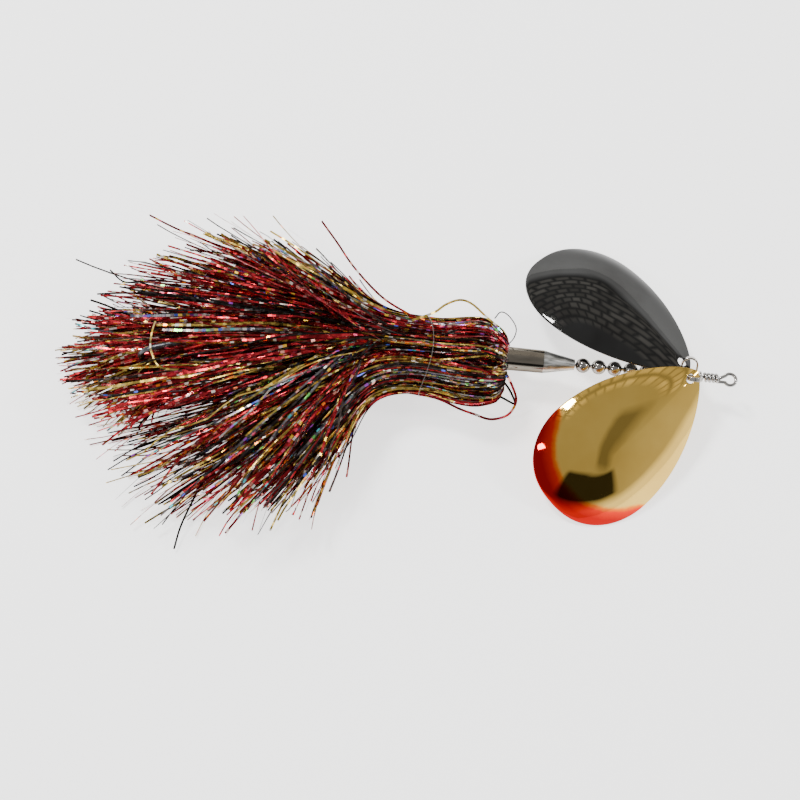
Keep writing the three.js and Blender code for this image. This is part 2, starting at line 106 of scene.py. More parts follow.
REAR_THREAD = {"front": 12.5, "rear": 16.5, "inner": 2.5, "outer": 3.6}
REAR_YAW = 18
RING_CENTRE = REAR_LOOP["station"] + REAR_LOOP["radius"] + SPLIT_RING["radius"]
RING_CENTRE -= WIRE_R + SPLIT_RING["wire_r"] + SPLIT_RING["play"]
NECK_BAND = {"station": 115.4, "swept": 3.6, "middle": (-2.3, -0.1), "half": (15.3, 14.7), "r": 0.09}

# Outer sections of the front skirt, from the widest part of its head to its waist: station, half
# width, bottom and top above the table, and how far its middle lies towards +Y.
HEAD = [
    (99, 17, 0.2, 34, -3),
    (106, 16.2, 0.2, 33, -3),
    (113, 15, 1.5, 30.5, -2.5),
    (119, 14.8, 1.5, 30, -2),
]
WAIST = HEAD[-1]
# How far the tips lie from the middle of the waist, by their bearing (positive towards +Y).
FAN_MIDDLE = (116, -1)
FAN_BEARING = (-11.5, 45)  # the middle of the fan and half its width, in degrees
FAN_EDGE = 76  # no strand goes further aside
REACH = [
    (-58, 74), (-54, 86), (-47, 95), (-40, 107), (-33, 121), (-20, 128), (-10, 131), (-3, 135),
    (2, 132), (6, 126), (11, 121), (18, 110), (22, 104), (25, 94), (28, 84), (31, 76), (35, 68),
]
REAR_REACH = [(-60, 44), (-45, 52), (-30, 62), (-18, 66), (-8, 66), (5, 60), (20, 50)]
FRONT_STRANDS, REAR_STRANDS = 2300, 900
FRONT_SHORT, REAR_SHORT = (0.45, 1.3), (0.5, 0.9)  # the most that a strand is cut, and a power of chance
FAN_STEPS, REAR_STEPS = 19, 17  # points along a strand
LOCKS = 150  # bundles that the front strands gather in
LOCK_COLOUR = 0.42  # the share of strands that take their lock's colour
STRAND_WIDTH = (0.45, 0.95)
REAR_TIE = {"t": 17, "r": 2.6}  # where the rear strands start
# The core of the front skirt, dark with painted shade, and the share of the strands on each
# side of it.
CORE_STATIONS = (90.5, 92, 95, 99, 104, 109, 114, 119, 126, 134, 142, 148, 152, 154)
CORE_SHARE = 0.2
# Strands sprung loose from the skirt: colour, width, then station, y and z along each.
LOOSE = [
    ("black", 0.45, [
        (93, 15, 1), (91, 16.7, 4), (88, 14.7, 6), (84.9, 10.6, 5), (85.5, 7.1, 2),
        (88.7, 4.6, -1), (92, 3, -1),
    ]),
    ("crimson", 1.0, [
        (93, -1.5, 6), (87.7, -6.5, 3), (84.1, -11.8, 1), (82.3, -15.5, -3), (84, -19.2, -7),
        (87.4, -20.6, -10), (91.8, -21.1, -11), (97.3, -20, -10), (102.8, -19.2, -8),
        (112, -16.5, -6), (124, -15.5, -5),
    ]),
    ("black", 0.9, [
        (91, -6, -2), (86.5, -9.5, -3), (83.6, -13.5, -4), (82.8, -16, -5), (88, -13.5, -6),
        (93, -12, -6),
    ]),
    ("olive_gold", 0.9, [
        (124, 7, 12), (116.2, 10.4, 13.5), (112.1, 14, 13.5), (107, 16.9, 12),
        (102.4, 15.8, 12), (97, 11.5, 12), (92, 9, 9),
    ]),
    ("crimson", 0.85, [
        (119, 7, 11), (127, 10.1, 12), (135, 14.4, 12), (142, 21, 10), (149, 29, 8),
        (155, 37.5, 6), (162, 46.7, 4),
    ]),
    ("crimson", 0.8, [
        (165, 15, 12), (177, 22.5, 12), (191, 28, 10), (205, 33, 7), (217, 38, 4), (228, 43.6, 1),
    ]),
    ("black", 0.8, [
        (175, -36, 2), (185, -46, 0), (194, -56, -4), (199, -66, -9), (202, -74, -12),
        (203.5, -81.9, -14),
    ]),
    ("olive_gold", 0.85, [
        (150, -36, 2), (156, -45, 0), (161, -52, -6), (165, -61, -10), (169, -71.8, -13),
    ]),
    ("black", 0.7, [
        (180, 13, 11), (193, 14.8, 10), (210, 14.7, 8), (223, 15.3, 6), (233, 14.6, 3),
        (239.6, 19.3, 2),
    ]),
    ("olive_gold", 0.7, [
        (196, -19, 10), (205, -21, 13), (214, -21, 14), (218, -15, 15), (218.5, -9, 15),
        (218, -3.6, 14),
    ]),
]
LOOSE_FACING = (0, -0.3, 1)

# The share of a blade's length and width, and the strands' own number and length.
BLADE_UV, STRAND_UV = "blade", "strand"
UV_LENGTH = 200  # millimetres of strand to one unit of its UV map
FLAKE = 1.5  # millimetres of film that lie at one angle
# The clear gold stays inside an oval: its middle and half sizes as shares of the blade.
CANDY = {"middle": 0.40, "long": 0.44, "wide": 0.535}

# ---------------- studio
WALL = 0.62
FLOOR_GLOW = 1.6
FLOOR_REACH = 3.0
FIGURE_SHADE, DOORWAY_LEFT = 0.6, 0.07  # how dark the figure is, and how much light the doorway leaves
SWEEP = (2.2, 2.2, 2.2)
# Softboxes: the way to each from the lure (degrees from +X towards +Y, then up), distance,
# width, height and power.
SOFTBOXES = [
    (142, 56, 1.2, 0.13, 0.24, 12),
    (-153, 43, 1.1, 0.09, 0.10, 2.5),
    (3, 38, 1.2, 0.12, 0.25, 5),
]
CAMERA = {"elevation": 72.4, "roll": 5.5, "distance": 0.65, "lens": 77.8, "aim": (125.66, -18.56, -5.9)}


# ---------------- mesh helpers
def add_object(name, data):
    obj = bpy.data.objects.new(name, data)
    bpy.context.scene.collection.objects.link(obj)
    return obj


def as_piece(mesh, material, node, stands_in=True):
    """Makes a mesh a piece that rides on its node's body and, if it stands in, hides the node."""
    mesh.materials.append(material)
    mesh.shade_smooth()
    obj = add_object(mesh.name, mesh)
    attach(obj, BODIES[node])
    if stands_in:
        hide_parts(node)
    return obj


def add_piece(name, parts, material, node, stands_in=True):
    """A piece of several (points in metres, faces) that are joined into one mesh."""
    points, faces = [], []
    for part_points, part_faces in parts:
        base = len(points)
        points.extend(tuple(p) for p in part_points)
        faces.extend(tuple(base + i for i in face) for face in part_faces)
    mesh = bpy.data.meshes.new(name)
    mesh.from_pydata(points, [], faces)
    mesh.validate()
    mesh.update()
    return as_piece(mesh, material, node, stands_in)


def outward(obj):
    """Turns every face of the piece outwards."""
    bm = bmesh.new()
    bm.from_mesh(obj.data)
    bmesh.ops.recalc_face_normals(bm, faces=bm.faces)
    bm.to_mesh(obj.data)
    bm.free()
    return obj


def grid_faces(rows, columns, closed=True, twist=0):
    """Faces of a grid of points that closes across its columns.

    Its rows close too, the last one twist columns round from the first, or else it has two ends.
    """
    faces = []
    for row in range(rows if closed else rows - 1):
        after = (row + 1) % rows
        turn = twist if after == 0 else 0
        for k in range(columns):
            m = (k + 1) % columns
            a, b = row * columns + (k + turn) % columns, row * columns + (m + turn) % columns
            faces.append((a, b, after * columns + m, after * columns + k))
    if not closed:
        faces += [tuple(reversed(range(columns))), tuple(range((rows - 1) * columns, rows * columns))]
    return faces


def keep_edges(obj):
    """Flat faces stay flat beside small rounded edges."""
    modifier = obj.modifiers.new("normals", "WEIGHTED_NORMAL")
    modifier.weight = 100
    return obj


def rounded(profile, radius, steps=4):
    """A closed profile of [along, across] points with its corners rounded."""
    profile = [np.array(p, float) for p in profile]
    result = []
    for i, corner in enumerate(profile):
        before, after = profile[i - 1] - corner, profile[(i + 1) % len(profile)] - corner
        sizes = np.linalg.norm(before), np.linalg.norm(after)
        reach = min(radius, 0.45 * min(sizes))
        a, b = corner + reach * before / sizes[0], corner + reach * after / sizes[1]
        for k in range(steps + 1):
            t = k / steps
            result.append((1 - t) ** 2 * a + 2 * t * (1 - t) * corner + t**2 * b)
    return result


def ring_profile(front, rear, inner, outer):
    """The section of a tube, as a profile of (station, radius)."""
    return [(front, inner), (front, outer), (rear, outer), (rear, inner)]


def lathe(profile, segments=64):
    """A profile of (station, radius) turned about the shaft's axis, in metres.

    It closes on itself, and goes outwards at its front and inwards at its rear.
    """
    points = []
    for i in range(segments):
        angle = 2 * math.pi * i / segments
        points += [at(s, r * math.sin(angle), r * math.cos(angle)) for s, r in profile]
    return points, grid_faces(segments, len(profile))


def tube(centres, radii, sides=12, closed=False):
    """A round wire through points (metres), of one radius or one per point."""
    centres = np.array([tuple(c) for c in centres], float)
    count = len(centres)
    radii = np.broadcast_to(np.asarray(radii, float), (count,))
    if closed:
        tangents = np.roll(centres, -1, 0) - np.roll(centres, 1, 0)
    else:
        tangents = np.gradient(centres, axis=0)
    tangents /= np.linalg.norm(tangents, axis=1)[:, None]
    normal = np.cross(tangents[0], (0.3, 0.5, 0.8))
    points = []
    for i in range(count):
        normal = normal - tangents[i] * (normal @ tangents[i])
        normal /= np.linalg.norm(normal)
        across = np.cross(tangents[i], normal)
        for k in range(sides):
            a = 2 * math.pi * k / sides
            points.append(centres[i] + radii[i] * (math.cos(a) * normal + math.sin(a) * across))
    if not closed:
        return points, grid_faces(count, sides, closed=False)
    # the sides have turned a little on their way round
    first = points[0] - centres[0]
    last = [first @ (p - centres[-1]) for p in points[-sides:]]
    return points, grid_faces(count, sides, twist=int(np.argmax(last)))


def resampled(control, per_span):
    """Catmull-Rom through the second axis of (lines, points, 3), without its last point."""
    first = 2 * control[:, :1] - control[:, 1:2]
    last = 2 * control[:, -1:] - control[:, -2:-1]
    p = np.concatenate([first, control, last], axis=1)
    a, b, c, d = p[:, :-3], p[:, 1:-2], p[:, 2:-1], p[:, 3:]
    t = (np.arange(per_span) / per_span)[None, None, :, None]
    a, b, c, d = (v[:, :, None, :] for v in (a, b, c, d))
    line = 2 * b + (c - a) * t + (2 * a - 5 * b + 4 * c - d) * t**2 + (3 * b - a - 3 * c + d) * t**3
    return 0.5 * line.reshape(len(control), -1, 3)


def smooth_line(points, per_span=8):
    """A Catmull-Rom line through the points."""
    control = np.array([tuple(q) for q in points], float)
    return np.vstack([resampled(control[None], per_span)[0], control[-1:]])


# ---------------- material helpers
class Nodes:
    """The node tree of a material or a world, with short ways to add and join nodes."""

    def __init__(self, owner):
        owner.use_nodes = True
        self.owner = owner
        self.tree = owner.node_tree
        nodes = self.tree.nodes
        self.shader = nodes.get("Principled BSDF") or nodes["Background"]

    def add(self, kind, inputs=(), **settings):
        """A node with its settings made, and its inputs, by name or number, joined or set."""
        node = self.tree.nodes.new("ShaderNode" + kind)
        for key, value in settings.items():
            setattr(node, key, value)
        for key, value in dict(inputs).items():
            self.put(value, node.inputs[key])
        return node.outputs

    def put(self, value, socket):
        if isinstance(value, bpy.types.NodeSocket):
            self.tree.links.new(value, socket)
        elif value is not None:
            socket.default_value = value

    def set(self, **values):
        for key, value in values.items():
            self.put(value, self.shader.inputs[key.replace("_", " ")])

    def math(self, operation, a, b=None):
        return self.add("Math", {0: a, 1: b}, operation=operation)[0]

    def vector(self, operation, a, b=None):
        other = "Scale" if operation == "SCALE" else 1
        outputs = self.add("VectorMath", {0: a, other: b}, operation=operation)
        return outputs["Value" if operation == "LENGTH" else "Vector"]

    def combine(self, x=0.0, y=0.0, z=0.0):
        return self.add("CombineXYZ", {0: x, 1: y, 2: z})[0]

    def separate(self, vector):
        return self.add("SeparateXYZ", {0: vector})

    def mix(self, share, a, b):
        return self.add("Mix", {"Factor": share, "A": a, "B": b}, data_type="RGBA")["Result"]

    def ramp(self, value, stops, interpolation="LINEAR"):
        result = self.add("ValToRGB", {0: value})[0]
        ramp = result.node.color_ramp
        ramp.interpolation = interpolation
        while len(ramp.elements) < len(stops):
            ramp.elements.new(0.5)
        for element, (position, colour) in zip(ramp.elements, stops):
            element.position = position
            element.color = colour
        return result

    def scale_range(self, value, low, high, new_low=0.0, new_high=1.0):
        return self.add("MapRange", enumerate((value, low, high, new_low, new_high)))[0]

    def place(self, scale=(1, 1, 1)):
        """Object coordinates in metres, stretched."""
        coordinates = self.add("TexCoord")["Object"]
        return self.add("Mapping", {"Vector": coordinates, "Scale": scale})[0]

    def noise(self, vector, scale, detail=3.0, roughness=0.5):
        inputs = {"Vector": vector, "Scale": scale, "Detail": detail, "Roughness": roughness}
        return self.add("TexNoise", inputs)[0]

    def bump(self, height, distance, strength=1.0):
        return self.add("Bump", {"Height": height, "Distance": distance, "Strength": strength})[0]


def material_nodes(name):
    return Nodes(bpy.data.materials.new(name))


def rgb(r, g, b):
    return (r, g, b, 1.0)


# ---------------- materials
def plated_metal(name, colour, roughness, streaks=(1, 1, 1), tarnish=0.25, bump=0.000004, grazing=1.0):
    """Bright metal with fine streaks, small pits and a little tarnish."""
    n = material_nodes(name)
    streak = n.noise(n.place(streaks), 900, 4, 0.6)
    cloud = n.noise(n.place(), 160, 3, 0.6)
    darker = tuple(c * (1 - tarnish) for c in colour[:3]) + (1.0,)
    n.set(
        Base_Color=n.mix(n.scale_range(cloud, 0.35, 0.7), colour, darker),
        Metallic=1.0,
        Roughness=n.scale_range(streak, 0.3, 0.75, roughness * 0.7, roughness * 1.5),
        Specular_Tint=rgb(grazing, grazing, grazing),
        Normal=n.bump(streak, bump),
    )
    return n.owner


def brushed(name, colour, roughness):
    return plated_metal(name, colour, roughness, streaks=(0.06, 1, 1), bump=0.000008)


def blade_metal(name, plating, edge_tint, grazing, candy=None):
    """Mirror plating on a hammered-smooth blade, with faint ripples and tiny specks."""
    n = material_nodes(name)
    place = n.place()
    ripple = n.noise(place, 70, 2, 0.5)
    speck = n.noise(place, 2600, 2, 0.6)
    cloud = n.noise(place, 45, 3, 0.55)
    colour = n.mix(n.scale_range(cloud, 0.4, 0.75), plating, edge_tint)
    roughness = n.scale_range(speck, 0.55, 0.8, 0.035, 0.12)
    if candy:  # outside an oval about the middle of the blade
        along, aside, _ = n.separate(n.add("UVMap", uv_map=BLADE_UV)[0])
        lengthwise = n.math("DIVIDE", n.math("SUBTRACT", along, CANDY["middle"]), CANDY["long"])
        sideways = n.math("DIVIDE", n.math("SUBTRACT", aside, 0.5), CANDY["wide"])
        oval = n.vector("LENGTH", n.combine(lengthwise, sideways))
        mottle = n.math("MULTIPLY", n.math("SUBTRACT", n.noise(place, 130, 4, 0.7), 0.5), 0.07)
        tail = n.scale_range(along, 0.45, 0.62, -0.3, 0)
        edge = n.math("ADD", n.math("ADD", oval, mottle), tail)
        stops = [(0.0, plating), (0.22, candy[0]), (0.5, candy[1]), (1.0, candy[2])]
        paint = n.ramp(n.scale_range(edge, 0.93, 1.14), stops)
        colour = n.mix(n.scale_range(edge, 0.93, 0.99), colour, paint)
    n.set(
        Base_Color=colour,
        Metallic=1.0,
        Roughness=roughness,
        Specular_Tint=rgb(grazing, grazing, grazing),
        Normal=n.bump(ripple, 0.00035, 0.22),
    )
    return n.owner


def tinsel(name, dark, bright, painted_glints, painted_glint_share, metallic):
    """Flat metallised film: every strand has its own shade, some of its flakes lie askew, and some carry
    a painted glint.
    """
    n = material_nodes(name)
    u, v, _ = n.separate(n.add("UVMap", uv_map=STRAND_UV)[0])
    step = n.math("FLOOR", n.math("MULTIPLY", v, UV_LENGTH / FLAKE))
    seed = n.combine(n.math("MULTIPLY", u, 913.0), step)
    chance = n.add("TexWhiteNoise", noise_dimensions="2D", inputs={"Vector": seed})["Color"]
    seed = n.math("MULTIPLY", u, 577.0)
    own = n.add("TexWhiteNoise", noise_dimensions="1D", inputs={"W": seed})["Value"]
    patch = n.noise(n.place(), 230, 2, 0.5)
    tone = n.math("MULTIPLY", own, n.scale_range(patch, 0.35, 0.65, 0.25, 1))
    pick = n.separate(chance)
    # Painted glints: a share of the flakes get bright colours in place of light caught on the film; on
    # the rainbow film they are partly its own holographic colours.
    stops = [(i / len(painted_glints), c) for i, c in enumerate(painted_glints)]
    painted_glint = n.ramp(pick[1], stops, "CONSTANT")
    painted_glint_mask = n.math("GREATER_THAN", pick[0], 1 - painted_glint_share)
    geometry = n.add("NewGeometry")["Normal"]
    tilt = n.vector("SUBTRACT", chance, (0.5, 0.5, 0.5))
    askew = n.math("ADD", n.math("MULTIPLY", n.math("POWER", pick[2], 3.0), 1.5), 0.12)
    leaning = n.vector("ADD", geometry, n.vector("SCALE", tilt, askew))
    n.set(
        Base_Color=n.mix(painted_glint_mask, n.mix(tone, dark, bright), painted_glint),
        Metallic=metallic,
        Roughness=n.scale_range(pick[2], 0, 1, 0.16, 0.4),
        Normal=n.vector("NORMALIZE", leaning),
    )
    return n.owner


def rubbery(name, colour, roughness, grain=700):
    n = material_nodes(name)
    pattern = n.noise(n.place(), grain, 4, 0.6)
    lighter = tuple(min(1, c * 1.9 + 0.01) for c in colour[:3]) + (1.0,)
    n.set(
        Base_Color=n.mix(n.scale_range(pattern, 0.35, 0.75), colour, lighter),
        Roughness=n.scale_range(pattern, 0.3, 0.7, roughness * 0.8, min(1, roughness * 1.2)),
        Normal=n.bump(pattern, 0.00003),
    )
    return n.owner


def body_finish():
    """Polished nickel whose cone is left finely turned."""
    n = material_nodes("body_nickel")
    streak = n.noise(n.place((0.05, 1, 1)), 1100, 4, 0.6)
    cloud = n.noise(n.place((0.3, 1, 1)), 160, 3, 0.6)
    shoulder = at(BODY["shoulder"]).x
    x, _, _ = n.separate(n.place())
    cone = n.scale_range(x, shoulder - 0.2 * MM, shoulder + 0.2 * MM)
    dull = n.scale_range(cloud, 0.35, 0.7)
    barrel = n.mix(dull, rgb(0.22, 0.195, 0.16), rgb(0.12, 0.105, 0.085))
    cut = n.scale_range(streak, 0.4, 0.65)
    turned_cone = n.mix(cut, rgb(0.24, 0.24, 0.23), rgb(0.62, 0.62, 0.6))
    rough = n.scale_range(streak, 0.3, 0.75, 0.08, 0.16)
    n.set(
        Base_Color=n.mix(cone, barrel, turned_cone),
        Metallic=1.0,
        Roughness=n.math("ADD", rough, n.math("MULTIPLY", cone, 0.2)),
        Specular_Tint=rgb(0.4, 0.4, 0.4),
        Normal=n.bump(streak, 0.000008),
    )
    return n.owner


stainless = brushed("stainless_wire", rgb(0.42, 0.41, 0.395), 0.18)
nickel = plated_metal("nickel", rgb(0.46, 0.44, 0.41), 0.1)
bead_steel = plated_metal("bead_steel", rgb(0.36, 0.34, 0.32), 0.07, tarnish=0.4, grazing=0.3)
body_nickel = body_finish()
brass_tube = brushed("brass_tube", rgb(0.42, 0.29, 0.12), 0.35)
hook_steel = plated_metal("hook_steel", rgb(0.10, 0.10, 0.11), 0.28, tarnish=0.4)
shrink_tube = rubbery("shrink_tube", rgb(0.012, 0.012, 0.013), 0.5)
tying_thread = rubbery("tying_thread", rgb(0.16, 0.008, 0.014), 0.6, grain=2200)
clear_elastic = rubbery("clear_elastic", rgb(0.11, 0.10, 0.09), 0.18)
# near-black: painted shade of the packed inner strands
painted_shade_inner_strands = rubbery("painted_shade_inner_strands", rgb(0.008, 0.002, 0.002), 0.6, grain=1500)
gold_blade = blade_metal(
    "gold_blade",
    rgb(0.64, 0.42, 0.095),
    rgb(0.56, 0.35, 0.07),
    1.0,
    candy=(rgb(0.68, 0.17, 0.012), rgb(0.56, 0.018, 0.005), rgb(0.33, 0.004, 0.003)),
)
black_blade = blade_metal("black_blade", rgb(0.05, 0.05, 0.049), rgb(0.034, 0.033, 0.032), 0.5)

WHITE, YELLOW, PINK = rgb(0.9, 0.85, 0.75), rgb(0.9, 0.55, 0.06), rgb(0.85, 0.10, 0.20)
CYAN, BLUE, GREEN = rgb(0.08, 0.7, 0.75), rgb(0.1, 0.16, 0.8), rgb(0.2, 0.75, 0.15)
VIOLET, ORANGE, RED = rgb(0.4, 0.08, 0.6), rgb(0.9, 0.2, 0.02), rgb(0.7, 0.03, 0.035)
SILVER, ROSE = rgb(0.4, 0.4, 0.42), rgb(0.75, 0.3, 0.24)
# Each colour of film: its share of the strands, its darkest and brightest shade, then the colours
# of its painted glints, the share of its flakes that get a painted glint, and how metallic it is.
FILMS = {
    "crimson": (
        0.54, rgb(0.085, 0.005, 0.007), rgb(0.56, 0.032, 0.042),
        [RED, PINK, ORANGE, WHITE, ROSE, YELLOW, ROSE, WHITE], 0.13, 1.0,
    ),
    "black": (
        0.22, rgb(0.003, 0.0025, 0.0025), rgb(0.036, 0.024, 0.02),
        [SILVER, BLUE, VIOLET], 0.012, 0.9,
    ),
    "olive_gold": (
        0.18, rgb(0.14, 0.09, 0.018), rgb(0.78, 0.56, 0.13),
        [YELLOW, WHITE, ORANGE, WHITE], 0.14, 1.0,
    ),
    "rainbow": (
        0.06, rgb(0.03, 0.03, 0.04), rgb(0.36, 0.33, 0.33),
        [CYAN, BLUE, WHITE, GREEN, VIOLET, PINK, ROSE, YELLOW], 0.3, 1.0,
    ),
}
TINSELS = {name: tinsel(f"tinsel_{name}", *film[1:]) for name, film in FILMS.items()}


# ---------------- wire shaft
def loop_and_wraps(radius):
    """A closed wire loop about the origin, its neck wrapped round the shaft behind it (mm)."""
    points = [(-radius - WRAPS["neck"] + 0.5, 0, 0)]
    for degrees in range(145, -146, -10):
        a = math.radians(degrees)
        points.append((radius * math.cos(a), radius * math.sin(a), 0))
    steps = 16
    for i in range(int(WRAPS["turns"] * steps) + 1):
        a = 2 * math.pi * i / steps
        x = -radius - WRAPS["neck"] - WRAPS["pitch"] * i / steps
        points.append((x, -WRAPS["radius"] * math.cos(a), WRAPS["radius"] * math.sin(a)))
    return smooth_line(points, 3)


def wire_shaft():
    front = LINE_EYE["station"] + LINE_EYE["radius"] + WRAPS["neck"] - 0.9
    rear = REAR_LOOP["station"] - REAR_LOOP["radius"] - WRAPS["neck"] + 0.9
    eye = [at(LINE_EYE["station"] - x, y, z) for x, y, z in loop_and_wraps(LINE_EYE["radius"])]
    loop = [at(REAR_LOOP["station"] + x, -z, y) for x, y, z in loop_and_wraps(REAR_LOOP["radius"])]
    parts = [
        tube([at(s) for s in np.linspace(front, rear, 40)], WIRE_R * MM, 20),
        tube(eye, WIRE_R * MM, 16),
        tube(loop, WIRE_R * MM, 16),
    ]
    add_piece("shaft_wire", parts, stainless, "wire_shaft")


# ---------------- blades and clevises
def blade_half_width(s):
    widest = BLADE["widest_at"] * BLADE["length"]
    before = np.sin(np.pi / 2 * np.clip(s / widest, 0, 1)) ** 0.71
    beyond = np.clip((s - widest) / (BLADE["length"] - widest), 0, 1)
    return BLADE["width"] / 2 * np.where(s <= widest, before, (1 - beyond**2) ** 0.43)


def blade_matrix(pose):
    """The blade's own frame: X from its hole to its tail, Z its convex side."""
    yaw, droop, roll = (math.radians(pose[k]) for k in ("yaw", "droop", "roll"))
    along = Vector(
        (-math.cos(yaw) * math.cos(droop), -math.sin(yaw) * math.cos(droop), -math.sin(droop))
    )
    upright = (Vector((0, 0, 1)) - along * along.z).normalized()
    convex = Matrix.Rotation(-roll, 3, along) @ upright
    across = convex.cross(along)
    station, radius = pose["hole"]
    clock = math.radians(pose["clock"])
    matrix = Matrix((along, across, convex)).transposed().to_4x4()
    matrix.translation = at(station, radius * math.sin(clock), radius * math.cos(clock))
    return matrix


def blade_mesh():
    """A dished teardrop with a hole, in rings from the hole to a rounded rim (mm, blade frame)."""
    count, rings = 288, 56
    hole, crown = BLADE["hole_at"], BLADE["crown_at"] * BLADE["length"]
    turn = 2 * np.pi * np.arange(4096) / 4096
    s = BLADE["length"] * (1 - np.cos(turn)) / 2
    edge = np.stack([s, np.sign(np.sin(turn)) * blade_half_width(s)], 1)
    from_crown = np.arctan2(edge[:, 1], edge[:, 0] - crown)
    from_hole = np.unwrap(np.arctan2(edge[:, 1], edge[:, 0] - hole))
    reach = np.hypot(edge[:, 0] - crown, edge[:, 1])

    def height(xy):
        angle = np.arctan2(xy[:, 1], xy[:, 0] - crown)
        rim = np.interp(angle, from_crown, reach, period=2 * np.pi)
        share = np.hypot(xy[:, 0] - crown, xy[:, 1]) / rim
        return BLADE["depth"] * (1 - np.minimum(share, 1) ** 2)

    # rim points spread evenly along the edge
    closed = np.vstack([edge, edge[:1]])
    length = np.concatenate([[0], np.cumsum(np.hypot(*np.diff(closed, axis=0).T))])
    marks = np.linspace(0, length[-1], count, endpoint=False)
    whole_turn = math.copysign(2 * math.pi, from_hole[-1] - from_hole[0])
    bearings = np.append(from_hole, from_hole[0] + whole_turn)
    rim_x, rim_y, bearing = (np.interp(marks, length, values) for values in (*closed.T, bearings))
    half = BLADE["thickness"] / 2
    ring_points = []

    def ring(share, lift):
        x = hole + BLADE["hole_r"] * np.cos(bearing)
        y = BLADE["hole_r"] * np.sin(bearing)
        xy = np.stack([x + share * (rim_x - x), y + share * (rim_y - y)], 1)
        z = height(xy) + lift
        ring_points.append(np.column_stack([xy[:, 0] - hole, xy[:, 1], z]))

    inner, outer = 0.004, 0.993
    shares = inner + (outer - inner) * np.linspace(0, 1, rings) ** 0.9
    for share in shares:
        ring(share, half)
    for k in range(1, 6):  # rounded rim
        a = math.pi * k / 6
        ring(outer + (1 - outer) * math.sin(a), half * math.cos(a))
    for share in shares[::-1]:
        ring(share, -half)
    for k in range(1, 4):  # rounded edge of the hole
        a = math.pi * k / 4
        ring(inner * (1 - math.sin(a)), -half * math.cos(a))
    return np.vstack(ring_points) * MM, grid_faces(len(ring_points), count)


def blade(name, pose, material, node):
    points, faces = blade_mesh()
    matrix = blade_matrix(pose)
    placed = [matrix @ Vector(p) for p in points]
    obj = outward(add_piece(name, [(placed, faces)], material, node))
    corners = np.zeros(len(obj.data.loops), np.int32)
    obj.data.loops.foreach_get("vertex_index", corners)
    share = points[corners, :2] / MM / (BLADE["length"], BLADE["width"]) + (0, 0.5)
    obj.data.uv_layers.new(name=BLADE_UV).data.foreach_set("uv", share.astype(np.float32).ravel())


def clevis(name, station, clock, node):
    """A folded strip with round ears that run on the shaft."""
    leg = CLEVIS["leg_gap"] / 2
    bend = CLEVIS["reach"] - leg
    root = (BORE_R + CLEVIS["ear_r"]) / 2  # each leg ends inside its ear, clear of the bore
    arc = [(-leg * math.cos(a), bend + leg * math.sin(a)) for a in np.linspace(0, math.pi, 25)]
    line = np.array([(-leg, root), (-leg, bend * 0.5), *arc, (leg, bend * 0.5), (leg, root)])
    thick, wide = CLEVIS["thickness"] / 2, CLEVIS["width"] / 2
    section = rounded([(-thick, -wide), (thick, -wide), (thick, wide), (-thick, wide)], 0.25, 3)
    angle = math.radians(clock)

    def spot(x, y, z):
        across = y * math.cos(angle) + z * math.sin(angle)
        return at(station - x, across, -y * math.sin(angle) + z * math.cos(angle))

    slope = np.gradient(line, axis=0)
    slope /= np.linalg.norm(slope, axis=1)[:, None]
    points = []
    for (x, z), (dx, dz) in zip(line, slope):
        points += [spot(x + a * dz, b, z - a * dx) for a, b in section]
    parts = [(points, grid_faces(len(line), len(section), closed=False))]
    for middle in (station + leg, station - leg):
        ear = ring_profile(middle - thick, middle + thick, BORE_R, CLEVIS["ear_r"])
        parts.append(lathe(rounded(ear, 0.18), 40))
    keep_edges(outward(add_piece(name, parts, nickel, node)))


# ---------------- beads, body, collar, threads
def bead(name, station, radius, node):
    lip = math.asin(BORE_R / radius)
    profile = []
    for i in range(41):
        a = lip + (math.pi - 2 * lip) * i / 40
        seam = 0.985 if i == 20 else 1.0  # the pressed halves meet in a fine groove
        profile.append((station - seam * radius * math.cos(a), seam * radius * math.sin(a)))
    add_piece(name, [lathe(profile, 48)], bead_steel, node)


def turned(name, profile, material, node, segments=96):
    keep_edges(add_piece(name, [lathe(profile, segments)], material, node))


def body_weight():
    profile = [
        (BODY["nose"], BORE_R),
        (BODY["nose"], BODY["nose_r"]),
        (BODY["shoulder"], BODY["shoulder_r"]),
        (BODY["rear"], BODY["rear_r"]),
        (BODY["rear"], BORE_R),
    ]
    turned("turned_body", rounded(profile, 0.22), body_nickel, "body_weight")


def skirt_collar():
    rear = COLLAR["rear"]
    profile = [
        (COLLAR["front"], BORE_R),
        (COLLAR["front"], COLLAR["r"]),
        (rear - 2, COLLAR["r"]),
        (rear - 1, COLLAR["r"] + COLLAR["lip"]),
        (rear, COLLAR["r"]),
        (rear, BORE_R),
    ]
    turned("skirt_tube", rounded(profile, 0.2), brass_tube, "skirt_collar")


def thread_coil(size, turns=9):
    """Thread wound in close turns: a tube with one groove between turns."""
    front, rear = size["front"], size["rear"]
    profile = [(front, size["inner"])]
    width = (rear - front) / turns
    for i in range(turns):
        for k in range(6):
            a = math.pi * (k + 0.5) / 6
            along = front + (i + 0.5 - 0.5 * math.cos(a)) * width
            profile.append((along, size["outer"] - 0.3 + 0.3 * math.sin(a)))
    profile.append((rear, size["inner"]))
    return profile


